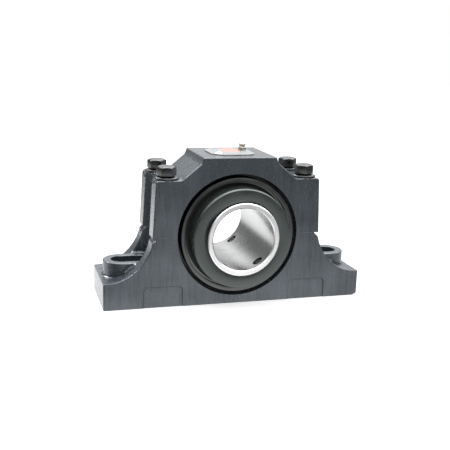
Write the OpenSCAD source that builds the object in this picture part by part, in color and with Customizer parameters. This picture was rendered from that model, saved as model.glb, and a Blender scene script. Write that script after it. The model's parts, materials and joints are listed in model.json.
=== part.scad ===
// Split pillow block with a double row tapered roller bearing in a self aligning cartridge.
// The shaft runs along Y, the base stands on Z = 0, and the origin is the middle of its underside.
// Sizes are in millimetres. Radii of the bearing grow outwards from the shaft, wall by wall.

/* [Base] */
// Overall length of the base
base_length = 266.7; // [255:0.1:290]
// Depth of the housing along the shaft
housing_depth = 72; // [70:0.5:84]
// Height of the shaft centre above the underside
centre_height = 69.85; // [68:0.05:80]
// Height of the feet at the two ends
foot_height = 26.1; // [20:0.1:32]
// Height of the slotted bosses on the feet
boss_height = 41.5; // [36:0.5:48]
// Wall of the bosses around their slots
boss_wall = 8.2; // [6:0.1:10]
// Distance between the middles of the two slots
slot_spacing = 203.2; // [196:0.1:214]
// End to end length of a slot
slot_length = 38.1; // [28:0.1:42]
// Width of a slot
slot_width = 20.6; // [17:0.1:22]
// How far the base's top corners stand back under the cap
corner_setback = 5.2; // [2:0.1:8]
// Drop of the slanted cut on the base's top corners
corner_drop = 4.85; // [2:0.05:8]
// Length of the flat ground on the lower right corner
ground_length = 5.5; // [2:0.1:8]
// Height of the flat ground on the lower right corner
ground_height = 2.4; // [1:0.1:4]

/* [Cast panels] */
// Width of the shallow panels on the long faces
panel_width = 39; // [20:0.5:44]
// Distance from the middle of the base to the middle of a panel
panel_x = 75; // [70:0.5:85]
// Height of the panels
panel_height = 21; // [10:0.5:22]
// Depth of the panels
panel_depth = 0.8; // [0.4:0.1:2]
// Radius of the panels' upper corners
panel_corner = 5; // [2:0.5:8]

/* [Cap] */
// Iron above the seat at the top of the cap
crown = 13.35; // [11:0.05:18]
// Width of the flat top
top_width = 74; // [66:0.5:78]
// Height of the upright edge round the flat top
rim_height = 5.7; // [3:0.1:8]
// How far that edge leans out at its foot
rim_lean = 1.7; // [0.5:0.1:3]
// Height of the bolt ears above the shaft centre
ear_rise = 55.75; // [50:0.05:60]
// Iron outside the middle of a cap bolt at the top of an ear
ear_margin = 12.5; // [12.5:0.1:16]
// How far the ears spread from their top to the split
ear_draft = 2.7; // [0.5:0.1:5]
// Radius of the ears' upper corners
ear_corner = 3; // [1:0.5:5]

/* [Cap bolts] */
// Diameter of the cap bolts
bolt_d = 11.1; // [10:0.1:14]
// Width of a bolt head across its flats
head_flats = 17; // [15:0.5:21]
// Height of a bolt head
head_height = 9.2; // [6:0.1:11]
// Radius of the flat on top of a bolt head, as a share of its flats
head_crown = 0.43; // [0.4:0.01:0.48]
// Outer diameter of the washers
washer_d = 24; // [22:0.1:25]
// Thickness of the washers
washer_t = 2.2; // [1.5:0.1:4]
// How much the washers are dished
washer_rise = 1.6; // [0.2:0.1:2]
// Iron between a washer and the long face beside it
washer_edge = 1; // [0.2:0.1:2]
// Depth of the machined seats under the washers
spot_depth = 0.5; // [0.2:0.1:1]
// Reach of those seats past the washers
spot_margin = 1.2; // [0.5:0.1:2]
// Iron between the seat and a bolt hole
bolt_wall = 4.4; // [3:0.1:7]
// Length of thread in the base
bolt_engagement = 20; // [14:0.5:26]
// Diameter of the dowel pins in the split
dowel_d = 5; // [3:0.1:6]
// Length of the dowel pins
dowel_length = 16; // [10:0.5:24]
// Iron on both sides of a dowel pin
dowel_wall = 2.2; // [1.5:0.1:4]

/* [Bearing] */
// Shaft bore
bore_d = 61.912; // [58:0.001:64]
// Wall of the inner ring under the collars
ring_wall = 5.19; // [4.6:0.01:6]
// Rise from that land to the middle of an inner race
race_rise = 2.05; // [1.8:0.05:2.6]
// Slope of the inner races
race_angle = 10; // [7:0.1:11]
// Diameter of a roller at its middle
roller_d = 8.4; // [7.6:0.1:8.8]
// Length of a roller
roller_length = 15; // [12:0.1:16]
// Rollers in one row
roller_count = 22; // [18:1:23]
// Half the width of the rib between the inner races
rib_half = 4.7; // [3.5:0.1:5]
// Height of the rib above the races' big ends
rib_height = 2.1; // [1:0.1:2.4]
// Wall of a cup at the middle of its race
cup_wall = 5.2; // [4.4:0.1:7]
// Half the width of the spacer between the cups
spacer_half = 4.5; // [3:0.1:5]
// Thickness of the spacer
spacer_wall = 2.4; // [1.6:0.1:3]
// Width of a cup
cup_width = 17.5; // [17:0.1:20]
// Thickness of a cage's sheet
cage_sheet = 1.4; // [0.8:0.1:1.8]

/* [Cartridge] */
// Thickness of a snap ring
snap_ring_t = 2; // [1.2:0.1:2.4]
// Depth of a snap ring's groove
snap_groove = 2; // [1:0.1:2.4]
// Reach of a snap ring over its cup
snap_reach = 5; // [3:0.1:5.5]
// Land between the groove and the seal
snap_land = 2.5; // [1.5:0.1:4]
// Width of a seal
seal_width = 4.5; // [4:0.1:6]
// Step from the cup bore up to the seal bore
seal_step = 1.5; // [0.5:0.1:2.5]
// Thickness of a seal case's sheet
seal_sheet = 1.2; // [0.8:0.1:1.6]
// How far the shell's ends stand back from the long faces
shell_setback = 0.5; // [0.2:0.1:2]
// Wall of the shell at its ends
end_wall = 3.96; // [3:0.02:5]
// Open gap between the shell's ends and the housing
swivel_gap = 3.85; // [2.5:0.05:5]
// How far the round seat reaches behind the housing's openings
seat_depth = 2.7; // [2.2:0.1:4]
// Width of the grease groove round the shell
groove_width = 6; // [3:0.5:8]
// Depth of the grease groove
groove_depth = 1.5; // [0.5:0.1:2]
// Diameter of the grease holes
grease_hole_d = 4; // [2:0.5:5]
// Diameter of the pin that keeps the shell from turning
pin_d = 8; // [6:0.5:10]
// Depth of that pin in the cap
pin_seat = 9; // [6:0.5:9]
// Reach of that pin into the shell
pin_reach = 4.5; // [3:0.5:5]
// Swivel of the cartridge each way, in degrees
swivel_angle = 2; // [0.5:0.5:2]

/* [Collars] */
// Wall of a collar
collar_wall = 13.4; // [10:0.05:15]
// Width of a collar
collar_width = 19; // [16:0.1:20]
// Radius of a collar's outer rim
collar_rim = 2.2; // [0.5:0.1:4]
// Width of the relief between a collar's outer face and the inner ring
collar_relief = 1.3; // [0.8:0.1:2]
// Length of inner ring beyond a collar
ring_overhang = 4.4; // [1.2:0.1:8]
// Chamfer at the mouths of the bore
bore_chamfer = 1; // [0.4:0.1:2]
// Diameter of the set screws
screw_d = 9.525; // [8:0.005:10]
// Diameter of the screws' holes through the inner ring
screw_hole_d = 10.6; // [10.2:0.1:11.5]
// Width of the screws' sockets across flats
screw_socket = 4.8; // [3:0.1:5.5]
// Distance from a collar's outer face to the middles of its screws
screw_setback = 6.8; // [6.5:0.1:8]
// Angle between the two screws of a collar
screw_spread = 72; // [45:1:120]
// How far the screws' tips stand back from the bore
tip_setback = 0.5; // [0.2:0.1:2]

/* [Top of the cap] */
// Length of the plate
plate_length = 45; // [40:0.5:46]
// Depth of the plate
plate_depth = 46; // [40:0.5:48]
// Thickness of the plate
plate_t = 0.8; // [0.5:0.1:1.5]
// Corner radius of the plate
plate_corner = 12; // [2:0.5:14]
// Middle of the plate along the base
plate_x = -1; // [-4:0.5:0]
// Middle of the plate along the shaft
plate_y = 1.5; // [0:0.5:6]
// Distance from the plate's left and front edges to the middle of its drive screw
plate_screw_inset = 7.5; // [6:0.5:9]
// Diameter of the drive screw's head
drive_head_d = 8.4; // [5:0.1:9]
// Diameter of the drive screw's shank
drive_shank_d = 3; // [2:0.1:3.5]
// Length of the drive screw's shank in the cap
drive_shank_length = 6; // [4:0.5:8]
// Width of the grease fitting's hexagon across flats
fitting_flats = 8; // [7:0.5:11]
// Height of the grease fitting above the plate
fitting_height = 6.6; // [6:0.1:12]
// Diameter of the grease fitting's thread
fitting_thread_d = 6.35; // [5:0.05:8]
// Depth of the grease fitting's hole
fitting_depth = 7; // [5:0.5:8]
// Place of the grease fitting along the base
fitting_x = 16.5; // [12:0.5:17]
// Place of the grease fitting along the shaft
fitting_y = 13.5; // [12:0.5:16]

/* [Clearances] */
// Round seat to shell
seat_clearance = 0.08; // [0.05:0.01:0.2]
// Rollers to races and rib
roller_clearance = 0.06; // [0.03:0.01:0.1]
// Rollers to their windows in the cage
window_clearance = 0.3; // [0.2:0.05:0.4]
// Seal lip to inner ring
lip_clearance = 0.1; // [0.05:0.05:0.3]
// Seal to collar
collar_clearance = 0.8; // [0.5:0.1:2]
// Screws, pins and sliding collars in their holes
fit_clearance = 0.04; // [0.02:0.01:0.1]
// Cap bolts in the cap
bolt_clearance = 0.4; // [0.2:0.05:0.8]
// Washers to the slope beside them
washer_clearance = 0.9; // [0.2:0.1:1]

/* [Hidden] */
$fn = 96;

// Extra length of a cutting tool past the face that it cuts
through = 1;

// Inner ring and rollers: both races and the rollers' axes meet in one apex on the shaft axis
bore_r = bore_d / 2;
land_r = bore_r + ring_wall;
race_r = land_r + race_rise;
apex_distance = race_r / tan(race_angle);
roller_taper = atan(roller_d / 2 * cos(race_angle) / apex_distance);
roller_angle = race_angle + roller_taper;
cup_angle = roller_angle + roller_taper;
roller_reach = apex_distance / cos(roller_angle);
pitch_r = apex_distance * tan(roller_angle);
big_end_r = (roller_reach + roller_length / 2) * tan(roller_taper) - roller_clearance;
small_end_r = (roller_reach - roller_length / 2) * tan(roller_taper) - roller_clearance;
roller_half = roller_length / 2 * cos(roller_angle);
roller_y = rib_half + roller_clearance + roller_half + big_end_r * sin(roller_angle);
race_end_y = roller_y + roller_half;
function race_radius(y, angle) = (apex_distance + roller_y - y) * tan(angle);
rib_r = race_radius(rib_half, race_angle) + rib_height;

// Radii of the cartridge and the seat
shell_bore_r = race_radius(roller_y, cup_angle) + cup_wall;
seal_bore_r = shell_bore_r + seal_step;
shell_end_r = seal_bore_r + end_wall;
opening_r = shell_end_r + swivel_gap;
seat_r = opening_r + seat_depth;
shell_r = seat_r - seat_clearance;
seat_half = sqrt(seat_r * seat_r - opening_r * opening_r);
collar_r = land_r + collar_wall;
flange_r = (land_r + seal_bore_r) / 2;

// Places along the shaft, from the middle outwards
cup_end_y = spacer_half + cup_width;
snap_end_y = cup_end_y + snap_ring_t;
seal_y = snap_end_y + snap_land;
seal_end_y = seal_y + seal_width;
shell_end_y = housing_depth / 2 - shell_setback;
collar_y = seal_end_y + collar_clearance;
collar_end_y = collar_y + collar_width;
ring_end_y = collar_end_y + ring_overhang;
screw_y = collar_end_y - screw_setback;

// Cap bolts, ears and the pockets beside them
bolt_hole_r = bolt_d / 2 + bolt_clearance;
washer_r = washer_d / 2;
bolt_y = housing_depth / 2 - washer_edge - washer_r;
bolt_x = sqrt(pow(seat_r + bolt_wall + bolt_hole_r, 2) - bolt_y * bolt_y);
bolt_places = [[-bolt_x, -bolt_y], [bolt_x, -bolt_y], [-bolt_x, bolt_y], [bolt_x, bolt_y]];
head_turns = [50, 28, 44, 48];
ear_z = centre_height + ear_rise;
ear_x = bolt_x + ear_margin;
ear_foot_x = ear_x + ear_draft;
slope_foot_x = bolt_x - washer_r - washer_clearance;
spot_z = ear_z - spot_depth;
head_z = spot_z + washer_t + washer_rise;
cap_top = centre_height + seat_r + crown;
pocket_r = slot_width / 2 + boss_wall;
dowel_x = seat_r + dowel_wall + dowel_d / 2;
pocket_x = dowel_x + dowel_d / 2 + dowel_wall + pocket_r;

// Plate on the cap, held by one screw on its left and by the grease fitting on its right
plate_top = cap_top + plate_t;
plate_screw_x = plate_x + plate_screw_inset - plate_length / 2;
plate_screw_y = plate_y + plate_screw_inset - plate_depth / 2;

// Base
base_half = base_length / 2;
slot_x = slot_spacing / 2;
slot_travel = slot_length - slot_width;
boss_end_x = slot_x + slot_travel / 2;
corner_x = ear_foot_x - corner_setback;
corner_z = centre_height - corner_drop;
sweep_r = base_half - ear_foot_x + 1;
sweep_z = foot_height + sweep_r;
sweep_end_x = base_half - sqrt(sweep_r * sweep_r - pow(sweep_z - corner_z, 2));

// Turns a profile of radius and place along the shaft round the shaft axis
module about_shaft() {
    translate([0, 0, centre_height]) rotate([-90, 0, 0]) rotate_extrude() children();
}

// Points X away from the shaft axis at an angle, seen from the front
module at_angle(angle) {
    translate([0, 0, centre_height]) rotate([0, -angle, 0]) children();
}

// Drives an outline of X and Z through the housing's depth
module through_depth(depth) {
    rotate([90, 0, 0]) linear_extrude(depth, center = true) children();
}

module both_ends() {
    children();
    mirror([1, 0, 0]) children();
}

module both_sides() {
    children();
    mirror([0, 1, 0]) children();
}

module to_front() {
    mirror([0, 1, 0]) children();
}

// A straight slot with round ends along X
module slot_outline(length, width) {
    square([length - width, width], center = true);
    for (side = [-1, 1]) translate([side * (length - width) / 2, 0]) circle(d = width);
}

module rounded_plate(length, depth, corner) {
    square([length, depth - 2 * corner], center = true);
    square([length - 2 * corner, depth], center = true);
    for (x = [-1, 1], y = [-1, 1])
        translate([x * (length / 2 - corner), y * (depth / 2 - corner)]) circle(corner);
}

// Room for the cartridge: a round seat between two openings
module cartridge_room() {
    translate([0, 0, centre_height]) rotate([90, 0, 0]) {
        sphere(seat_r);
        cylinder(h = housing_depth + 2 * through, r = opening_r, center = true);
    }
}

// Upright pocket between the two ears of one end, for the foundation bolt
module pocket(bottom, top) {
    reach = base_half + through - pocket_x;
    translate([0, 0, bottom]) linear_extrude(top - bottom) {
        translate([pocket_x, 0]) circle(pocket_r);
        translate([pocket_x, -pocket_r]) square([reach, 2 * pocket_r]);
    }
}

module base_outline() {
    difference() {
        polygon([
            [-base_half, 0], [base_half - ground_length, 0], [base_half, ground_height],
            [base_half, foot_height], [sweep_end_x, corner_z], [corner_x, centre_height],
            [-corner_x, centre_height], [-sweep_end_x, corner_z], [-base_half, foot_height]
        ]);
        for (side = [-1, 1]) translate([side * base_half, sweep_z]) circle(sweep_r);
    }
}

// One slotted boss, from the core of the base out to its round end
module boss() {
    translate([boss_end_x, 0, 0]) cylinder(h = boss_height, r = pocket_r);
    translate([pocket_x - pocket_r, -pocket_r, 0])
        cube([boss_end_x - pocket_x + pocket_r, 2 * pocket_r, boss_height]);
}

// Shallow cast panel, open at the underside
module panel() {
    translate([panel_x, -housing_depth / 2, 0]) through_depth(2 * panel_depth) {
        translate([-panel_width / 2, -through])
            square([panel_width, panel_height + through - panel_corner]);
        translate([panel_corner - panel_width / 2, 0])
            square([panel_width - 2 * panel_corner, panel_height]);
        for (side = [-1, 1])
            translate([side * (panel_width / 2 - panel_corner), panel_height - panel_corner])
                circle(panel_corner);
    }
}

module dowel_hole(z, height) {
    both_ends() translate([dowel_x, 0, z]) cylinder(h = height, d = dowel_d + 2 * fit_clearance);
}

module housing_base() {
    tap_depth = bolt_engagement + 3;
    color("#4f5457") difference() {
        union() {
            difference() {
                through_depth(housing_depth) base_outline();
                both_ends() pocket(foot_height, centre_height + through);
            }
            both_ends() boss();
        }
        cartridge_room();
        both_ends() translate([slot_x, 0, -through])
            linear_extrude(boss_height + 2 * through) slot_outline(slot_length, slot_width);
        for (place = bolt_places) translate([place[0], place[1], centre_height - tap_depth])
            cylinder(h = tap_depth + through, d = bolt_d + 2 * fit_clearance);
        dowel_hole(centre_height - dowel_length / 2 - fit_clearance, dowel_length);
        both_ends() both_sides() panel();
    }
}

module cap_outline() {
    top_x = top_width / 2;
    half = [
        [ear_foot_x, centre_height], [ear_x, ear_z], [slope_foot_x, ear_z],
        [top_x + rim_lean, cap_top - rim_height], [top_x, cap_top]
    ];
    polygon(concat(half, [for (i = [len(half) - 1 : -1 : 0]) [-half[i][0], half[i][1]]]));
}

// What a round corner takes off an ear, between its flat top and its leaning side
module ear_corner_waste() {
    lean = atan(ear_draft / ear_rise);
    run = ear_corner * tan((90 - lean) / 2);
    difference() {
        polygon([
            [ear_x - run, ear_z], [ear_x + run * sin(lean), ear_z - run * cos(lean)],
            [ear_x + through, ear_z + through]
        ]);
        translate([ear_x - run, ear_z - ear_corner]) circle(ear_corner);
    }
}

// Tapped hole for the fitting, and the drilling from it to the grease groove
module grease_way() {
    floor_z = cap_top - fitting_depth;
    seat_z = centre_height + sqrt(seat_r * seat_r - fitting_x * fitting_x);
    slant = atan(fitting_y / (floor_z - seat_z));
    length = norm([fitting_y, floor_z - seat_z]);
    translate([fitting_x, fitting_y, floor_z]) {
        cylinder(h = fitting_depth + through, d = fitting_thread_d + 2 * fit_clearance);
        rotate([180 - slant, 0, 0]) cylinder(h = length + 2 * through, d = grease_hole_d);
    }
}

module housing_cap() {
    pin_hole_r = pin_d / 2 + fit_clearance;
    drive_hole_depth = drive_shank_length + 1;
    color("#474c50") difference() {
        difference() {
            through_depth(housing_depth) cap_outline();
            both_ends() pocket(centre_height - through, cap_top);
        }
        both_ends() through_depth(housing_depth + 2 * through) ear_corner_waste();
        cartridge_room();
        for (place = bolt_places) translate([place[0], place[1], centre_height - through])
            cylinder(h = ear_rise + 2 * through, r = bolt_hole_r);
        for (place = bolt_places) translate([place[0], place[1], spot_z])
            cylinder(h = cap_top - spot_z, r = washer_r + spot_margin);
        dowel_hole(centre_height - through, through + dowel_length / 2 + fit_clearance);
        translate([0, 0, centre_height]) cylinder(h = seat_r + pin_seat + seat_clearance, r = pin_hole_r);
        grease_way();
        translate([plate_screw_x, plate_screw_y, cap_top - drive_hole_depth])
            cylinder(h = drive_hole_depth + through, d = drive_shank_d + 2 * fit_clearance);
    }
}

// Hexagon head with its upper corners turned off
module hexagon_head(flats, height) {
    corner_r = flats / 2 / cos(30);
    crown_r = head_crown * flats;
    bevel = (corner_r - crown_r) * tan(30);
    intersection() {
        cylinder(h = height, r = corner_r, $fn = 6);
        union() {
            cylinder(h = height - bevel, r = corner_r + 1);
            translate([0, 0, height - bevel]) cylinder(h = bevel, r1 = corner_r, r2 = crown_r);
        }
    }
}

module cap_bolts() {
    shank_end = centre_height - bolt_engagement;
    point = 1.2;
    color("#6f6c66") for (i = [0 : 3]) translate(bolt_places[i]) {
        translate([0, 0, head_z]) rotate(head_turns[i]) hexagon_head(head_flats, head_height);
        translate([0, 0, shank_end]) cylinder(h = point, d1 = bolt_d - 2 * point, d2 = bolt_d);
        translate([0, 0, shank_end + point]) cylinder(h = head_z - shank_end - point, d = bolt_d);
    }
}

module cap_washers() {
    dish = [
        [bolt_hole_r, washer_rise], [washer_r, 0],
        [washer_r, washer_t], [bolt_hole_r, washer_t + washer_rise]
    ];
    color("#77746e") for (place = bolt_places) translate([place[0], place[1], spot_z])
        rotate_extrude() polygon(dish);
}

module dowel_pins() {
    tip = 0.6;
    color("#8a8a88") both_ends() translate([dowel_x, 0, centre_height - dowel_length / 2]) {
        cylinder(h = tip, d1 = dowel_d - 2 * tip, d2 = dowel_d);
        translate([0, 0, tip]) cylinder(h = dowel_length - 2 * tip, d = dowel_d);
        translate([0, 0, dowel_length - tip]) cylinder(h = tip, d1 = dowel_d, d2 = dowel_d - 2 * tip);
    }
}

module nameplate() {
    color("#e4e6e8") difference() {
        translate([plate_x, plate_y, cap_top])
            linear_extrude(plate_t) rounded_plate(plate_length, plate_depth, plate_corner);
        translate([plate_screw_x, plate_screw_y, cap_top - through])
            cylinder(h = plate_t + 2 * through, d = drive_shank_d + 2 * fit_clearance);
        translate([fitting_x, fitting_y, cap_top - through])
            cylinder(h = plate_t + 2 * through, d = fitting_thread_d + 2 * fit_clearance);
    }
}

// A low domed head on a plain shank
module nameplate_drive_screws() {
    dome_height = 0.3 * drive_head_d;
    head_r = drive_head_d / 2;
    dome_r = (head_r * head_r + dome_height * dome_height) / (2 * dome_height);
    color("#c9cac6") translate([plate_screw_x, plate_screw_y, plate_top]) {
        intersection() {
            translate([0, 0, dome_height - dome_r]) sphere(dome_r);
            cylinder(h = dome_height + through, r = drive_head_d);
        }
        translate([0, 0, -plate_t - drive_shank_length])
            cylinder(h = plate_t + drive_shank_length + dome_height / 2, d = drive_shank_d);
    }
}

// A hexagon with a round button on a short neck, which the grease gun takes hold of
module grease_fitting() {
    hexagon_height = 0.5 * fitting_height;
    neck_r = 0.33 * fitting_flats;
    button_r = 0.43 * fitting_flats;
    button_z = 0.62 * fitting_height;
    button_edge = 0.8;
    thread_length = plate_t + fitting_depth - 2;
    passage_r = 0.9;
    color("#d8d8d4") translate([fitting_x, fitting_y, plate_top]) difference() {
        union() {
            hexagon_head(fitting_flats, hexagon_height);
            translate([0, 0, -thread_length])
                cylinder(h = thread_length + hexagon_height, d = fitting_thread_d);
            rotate_extrude() polygon([
                [0, hexagon_height - 0.5], [neck_r, hexagon_height - 0.5], [neck_r, button_z],
                [button_r, button_z], [button_r, fitting_height - button_edge],
                [button_r - button_edge, fitting_height], [0, fitting_height]
            ]);
        }
        translate([0, 0, -thread_length - through]) cylinder(h = fitting_height, r = passage_r);
    }
}

module anti_rotation_pin() {
    tip = 0.8;
    bottom = centre_height + shell_r - pin_reach;
    length = pin_seat + pin_reach;
    color("#8f8f8c") translate([0, 0, bottom]) {
        cylinder(h = tip, d1 = pin_d - 2 * tip, d2 = pin_d);
        translate([0, 0, tip]) cylinder(h = length - 2 * tip, d = pin_d);
        translate([0, 0, length - tip]) cylinder(h = tip, d1 = pin_d, d2 = pin_d - 2 * tip);
    }
}

// One half of the shell's section, from the middle plane to its rear end
module shell_section() {
    difference() {
        union() {
            intersection() {
                circle(shell_r);
                square([shell_r + through, seat_half]);
            }
            square([shell_end_r, shell_end_y]);
        }
        translate([-through, -through]) square([shell_bore_r + through, shell_end_y + 2 * through]);
        translate([-through, cup_end_y]) square([shell_bore_r + snap_groove + through, snap_ring_t]);
        translate([-through, seal_y]) square([seal_bore_r + through, shell_end_y]);
        translate([shell_r - groove_depth, -through])
            square([through + groove_depth, groove_width / 2 + through]);
    }
}

module cartridge_shell() {
    slot_swing = shell_r * sin(swivel_angle) + 0.6;
    slot_floor = centre_height + shell_r - pin_reach - 0.8;
    color("#6d6d69") difference() {
        about_shaft() {
            shell_section();
            mirror([0, 1]) shell_section();
        }
        translate([0, 0, slot_floor]) linear_extrude(2 * pin_reach) rotate(90)
            slot_outline(pin_d + 2 * fit_clearance + 2 * slot_swing, pin_d + 2 * fit_clearance);
        for (angle = [30, 150, 270]) at_angle(angle) rotate([0, 90, 0])
            cylinder(h = shell_r + through, d = grease_hole_d);
    }
}

module cup() {
    about_shaft() polygon([
        [shell_bore_r, spacer_half], [shell_bore_r, cup_end_y],
        [race_radius(cup_end_y, cup_angle), cup_end_y], [race_radius(spacer_half, cup_angle), spacer_half]
    ]);
}

module cup_rear() {
    color("#a9abac") cup();
}

module cup_front() {
    color("#a9abac") to_front() cup();
}

module cup_spacer() {
    color("#8d8f90") difference() {
        about_shaft() translate([shell_bore_r - spacer_wall, -spacer_half])
            square([spacer_wall, 2 * spacer_half]);
        for (angle = [30 : 60 : 330]) at_angle(angle) rotate([0, 90, 0])
            cylinder(h = shell_bore_r + through, d = grease_hole_d);
    }
}

// Open ring with an eye in each end
module snap_ring() {
    inner_r = shell_bore_r - snap_reach;
    eye_r = 1.3;
    eye_angle = 7;
    mouth = 9;
    color("#55585a") difference() {
        about_shaft() translate([inner_r, cup_end_y]) square([snap_reach + snap_groove, snap_ring_t]);
        translate([-mouth / 2, cup_end_y - through, centre_height - shell_bore_r - 2 * snap_groove])
            cube([mouth, snap_ring_t + 2 * through, snap_reach + 4 * snap_groove]);
        for (side = [-1, 1]) at_angle(-90 + side * (eye_angle + eye_angle / 2))
            translate([inner_r + snap_reach / 2, cup_end_y - through, 0]) rotate([-90, 0, 0])
                cylinder(h = snap_ring_t + 2 * through, r = eye_r);
    }
}

module snap_ring_rear() {
    snap_ring();
}

module snap_ring_front() {
    to_front() snap_ring();
}

// Pressed steel cup of the seal, open to the outside
module seal_case() {
    color("#5d5f60") about_shaft() {
        translate([seal_bore_r - seal_sheet, seal_y]) square([seal_sheet, seal_width]);
        translate([flange_r, seal_y]) square([seal_bore_r - flange_r, seal_sheet]);
    }
}

module seal_case_rear() {
    seal_case();
}

module seal_case_front() {
    to_front() seal_case();
}

// Rubber disc moulded on the case's flange, with a lip that leans outwards on the inner ring
module seal_lip() {
    rubber = 1.4;
    outer_r = seal_bore_r - seal_sheet;
    lip_r = land_r + lip_clearance;
    back_y = seal_y + seal_sheet;
    color("#202224") about_shaft() polygon([
        [outer_r, back_y], [outer_r, back_y + rubber], [lip_r + 3.6, back_y + rubber],
        [lip_r + 1.2, seal_end_y - 0.4], [lip_r, seal_end_y - 0.6], [lip_r + rubber, back_y],
        [lip_r + rubber, seal_y], [flange_r, seal_y], [flange_r, back_y]
    ]);
}

module seal_lip_rear() {
    seal_lip();
}

module seal_lip_front() {
    to_front() seal_lip();
}

module inner_ring() {
    outer_chamfer = 0.8;
    half = [
        [bore_r, ring_end_y - bore_chamfer], [bore_r + bore_chamfer, ring_end_y],
        [land_r - outer_chamfer, ring_end_y], [land_r, ring_end_y - outer_chamfer], [land_r, race_end_y],
        [race_radius(race_end_y, race_angle), race_end_y], [race_radius(rib_half, race_angle), rib_half],
        [rib_r, rib_half]
    ];
    color("#e9eaec") difference() {
        about_shaft() polygon(concat(half, [for (i = [len(half) - 1 : -1 : 0]) [half[i][0], -half[i][1]]]));
        both_sides() screw_places() cylinder(h = land_r + through, d = screw_hole_d);
    }
}

// Puts a set screw's axis along Z, pointing away from the shaft axis, at both screws of the rear collar
module screw_places() {
    for (side = [-1, 1]) at_angle(-90 + side * screw_spread / 2)
        translate([0, screw_y, 0]) rotate([0, 90, 0]) children();
}

// Places a roller's axis along Z at each roller of the rear row, big end first
module roller_places() {
    for (i = [0 : roller_count - 1]) at_angle(90 + i * 360 / roller_count)
        translate([pitch_r, roller_y, 0]) rotate([0, 0, roller_angle]) rotate([-90, 0, 0]) children();
}

module roller_row() {
    edge = 0.5;
    half = roller_length / 2;
    color("#c3c5c7") roller_places() rotate_extrude() polygon([
        [0, -half], [big_end_r - edge, -half], [big_end_r, edge - half],
        [small_end_r, half - edge], [small_end_r - edge, half], [0, half]
    ]);
}

module rollers_rear() {
    roller_row();
}

module rollers_front() {
    to_front() roller_row();
}

// Sloping sheet with a window for each roller and a small flange at the rollers' small ends
module cage() {
    ring_width = 2;
    big_end_y = roller_y - roller_half - window_clearance - ring_width;
    small_end_y = race_end_y + small_end_r * sin(roller_angle) + window_clearance + ring_width;
    rise = 0.6;
    flange_depth = 3;
    function sheet_r(y) = race_radius(y, roller_angle) + rise;
    window = window_clearance;
    color("#9c9d9e") difference() {
        about_shaft() {
            polygon([
                [sheet_r(big_end_y), big_end_y], [sheet_r(big_end_y) + cage_sheet, big_end_y],
                [sheet_r(small_end_y) + cage_sheet, small_end_y], [sheet_r(small_end_y), small_end_y]
            ]);
            translate([sheet_r(small_end_y) - flange_depth, small_end_y - cage_sheet])
                square([flange_depth + cage_sheet / 2, cage_sheet]);
        }
        roller_places() cylinder(h = roller_length + 2 * window,
            r1 = big_end_r + window, r2 = small_end_r + window, center = true);
    }
}

module cage_rear() {
    cage();
}

module cage_front() {
    to_front() cage();
}

module collar() {
    chamfer = 0.8;
    inner_r = land_r + fit_clearance;
    color("#4b504f") difference() {
        about_shaft() {
            polygon([
                [inner_r, collar_y], [collar_r - chamfer, collar_y], [collar_r, collar_y + chamfer],
                [collar_r, collar_end_y - collar_rim], [collar_r - collar_rim, collar_end_y],
                [land_r + collar_relief, collar_end_y],
                [land_r + collar_relief, collar_end_y - collar_relief],
                [inner_r, collar_end_y - collar_relief]
            ]);
            translate([collar_r - collar_rim, collar_end_y - collar_rim]) circle(collar_rim);
        }
        screw_places() cylinder(h = collar_r + through, d = screw_d + 2 * fit_clearance);
    }
}

module collar_rear() {
    collar();
}

module collar_front() {
    to_front() collar();
}

// Socket screws with a cup point, set back from the bore and flush below the collar's outside
module set_screws() {
    tip_r = bore_r + tip_setback;
    head_r = collar_r - 1.2;
    point = 1.6;
    socket_depth = 6;
    cup_depth = 1;
    color("#3c3e40") screw_places() difference() {
        union() {
            translate([0, 0, tip_r]) cylinder(h = point, d1 = screw_d - 2 * point, d2 = screw_d);
            translate([0, 0, tip_r + point]) cylinder(h = head_r - tip_r - point, d = screw_d);
        }
        translate([0, 0, head_r - socket_depth])
            cylinder(h = socket_depth + through, d = screw_socket / cos(30), $fn = 6);
        translate([0, 0, tip_r - cup_depth / 2]) cylinder(h = cup_depth * 1.5, r1 = 1.8, r2 = 0.3);
    }
}

module set_screws_rear() {
    set_screws();
}

module set_screws_front() {
    to_front() set_screws();
}

housing_base();
housing_cap();
cap_bolts();
cap_washers();
dowel_pins();
nameplate();
nameplate_drive_screws();
grease_fitting();
anti_rotation_pin();
cartridge_shell();
cup_front();
cup_rear();
cup_spacer();
snap_ring_front();
snap_ring_rear();
seal_case_front();
seal_case_rear();
seal_lip_front();
seal_lip_rear();
inner_ring();
rollers_front();
rollers_rear();
cage_front();
cage_rear();
collar_front();
collar_rear();
set_screws_front();
set_screws_rear();
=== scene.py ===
"""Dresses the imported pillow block: rounded castings, turned and plated small parts, finishes and a stage.

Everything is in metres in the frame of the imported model. The shaft runs along Y, and Z is up.
"""

import json
import math

import bmesh
import bpy
from mathutils import Matrix, Vector

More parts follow.
